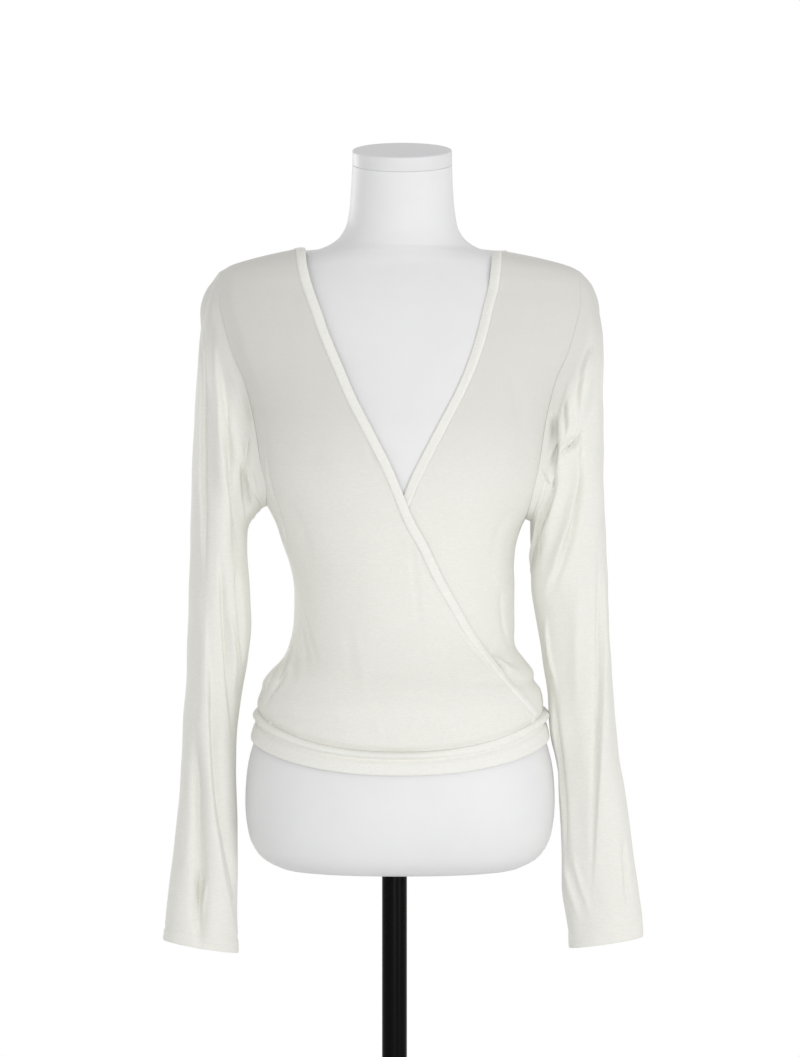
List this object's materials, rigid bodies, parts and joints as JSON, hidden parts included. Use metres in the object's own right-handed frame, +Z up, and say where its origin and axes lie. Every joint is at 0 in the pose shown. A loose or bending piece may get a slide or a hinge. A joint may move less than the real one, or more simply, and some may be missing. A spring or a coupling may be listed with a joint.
{
  "type": "long-sleeved wrap top on dress form",
  "caption": "Ivory jersey top with long sleeves, a crossed front and a fitted hem band, on a white limbless dress form with a black pole and round base.",
  "frame": {"origin": "centre of the base plate's underside, on the pole's axis, at floor level", "axes": "+Z up, the front of the top towards -Y, the wearer's left towards +X"},
  "size_m": [0.478, 0.32, 1.4569],
  "materials": {
    "ivory_jersey": "soft",
    "ivory_doubled": "soft",
    "form_white": "satin",
    "cap_white": "satin",
    "pole_black": "gloss",
    "base_black": "satin"
  },
  "bodies": {
    "root": {"form_torso": "form_white", "neck_cap": "cap_white", "pole": "pole_black", "base": "base_black", "front_left": "ivory_jersey", "front_right": "ivory_jersey", "back": "ivory_jersey", "sleeve_left": "ivory_jersey", "sleeve_right": "ivory_jersey", "neckband_front_right": "ivory_doubled", "neckband_front_left": "ivory_doubled", "neckband_back": "ivory_doubled", "hem_band": "ivory_doubled"}
  },
  "joints": []
}
